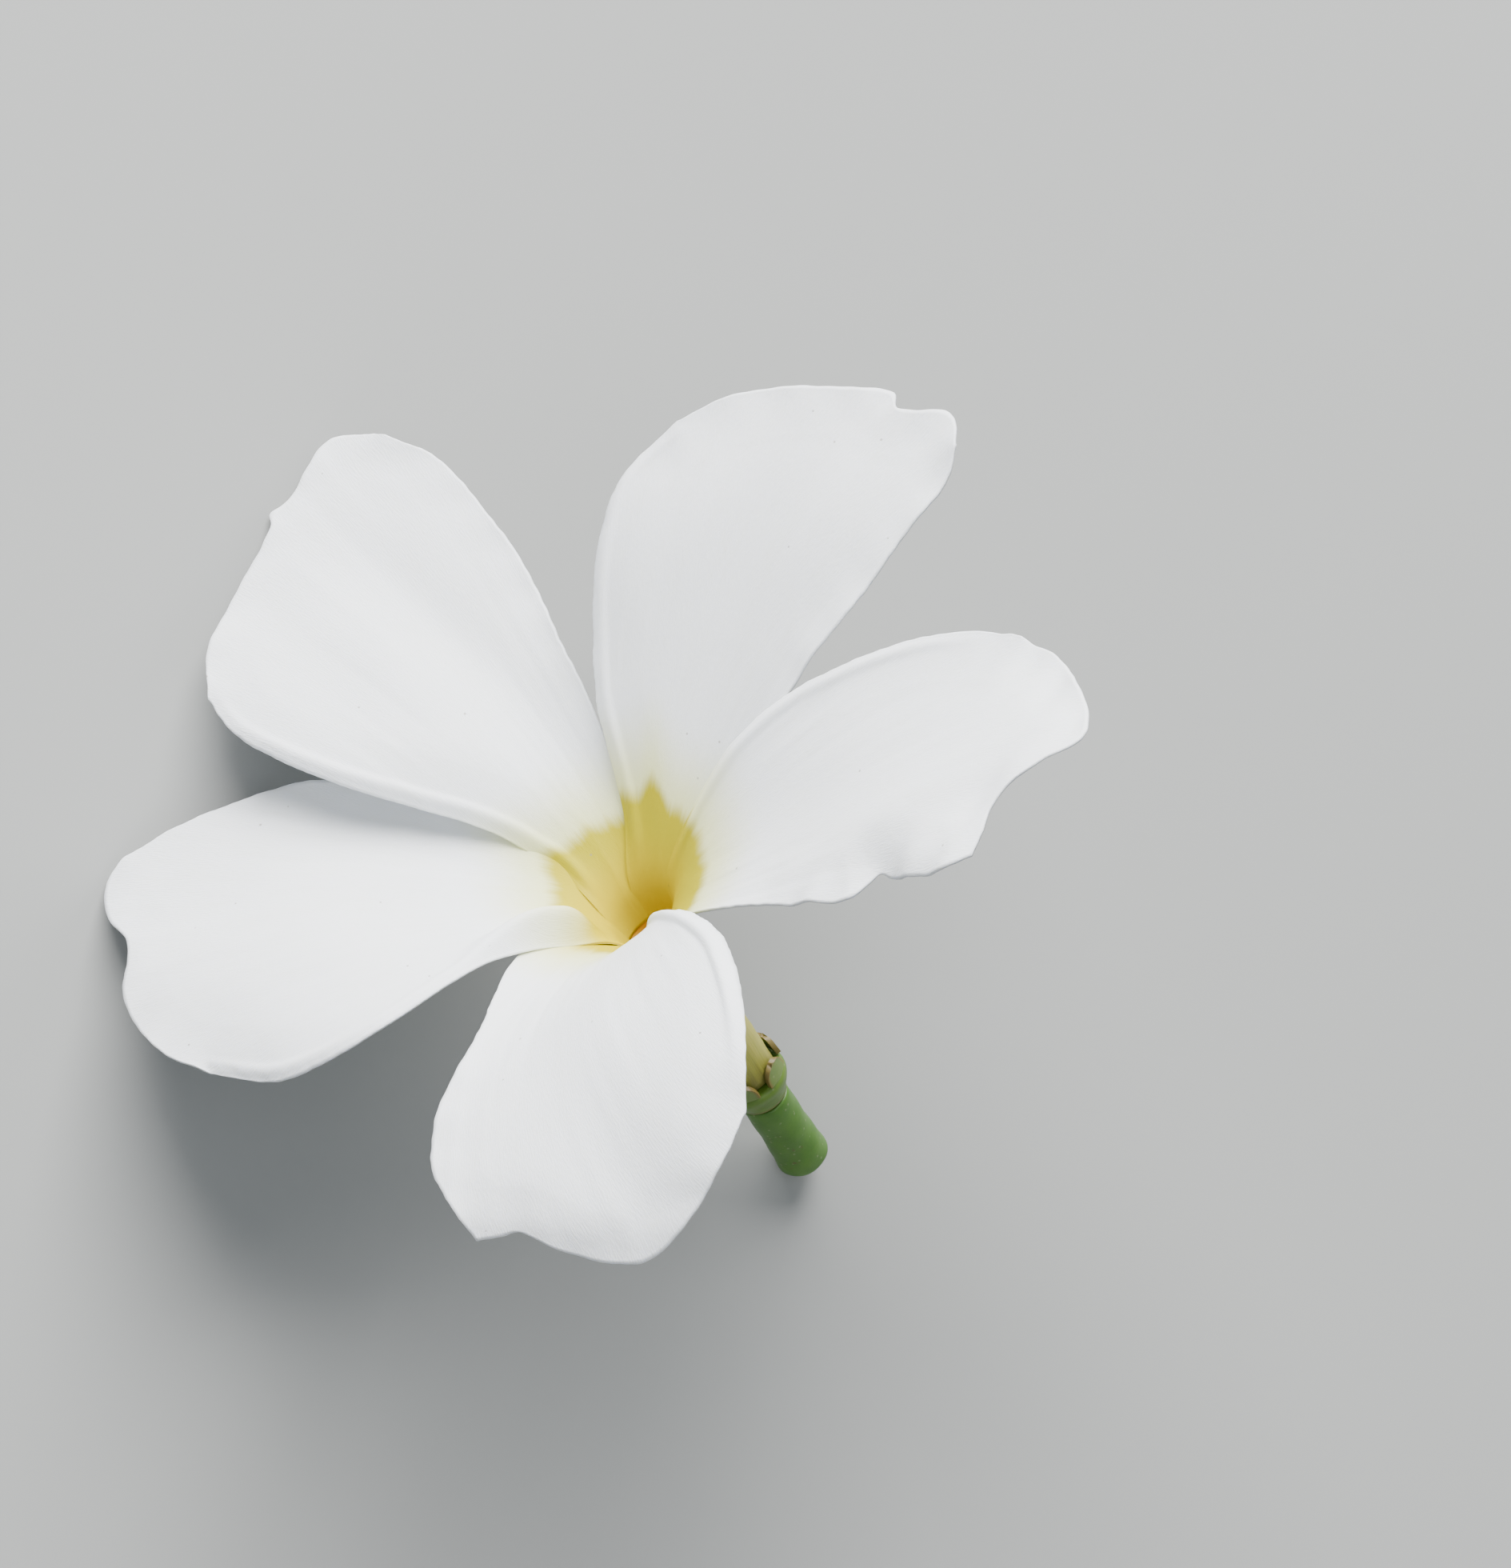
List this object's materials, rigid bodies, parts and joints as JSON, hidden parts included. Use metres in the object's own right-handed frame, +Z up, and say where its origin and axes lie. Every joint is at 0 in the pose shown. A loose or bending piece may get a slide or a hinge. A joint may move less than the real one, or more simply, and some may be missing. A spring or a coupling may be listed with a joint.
{
  "type": "plumeria flower",
  "caption": "Single fully open plumeria flower lying on two petals and its cut stalk, with overlapping waxy white petals, a yellow throat and a narrow tube.",
  "frame": {"origin": "bottom centre of the flower's bounding box, on the surface that it lies on", "axes": "+Z up; the flower faces -Y and up; the cut end of the stalk is at +Y"},
  "size_m": [0.0752, 0.0714, 0.0629],
  "materials": {
    "petal": "satin",
    "tube": "satin",
    "calyx": "satin",
    "stalk": "satin",
    "pistil": "satin",
    "anther": "matte"
  },
  "bodies": {
    "root": {"petal_1": "petal", "petal_2": "petal", "petal_3": "petal", "petal_4": "petal", "petal_5": "petal", "corolla_tube": "tube", "calyx": "calyx", "sepal_1": "calyx", "sepal_2": "calyx", "sepal_3": "calyx", "sepal_4": "calyx", "sepal_5": "calyx", "pedicel": "stalk", "pistil": "pistil", "stamen_1": "anther", "stamen_2": "anther", "stamen_3": "anther", "stamen_4": "anther", "stamen_5": "anther"}
  },
  "joints": []
}
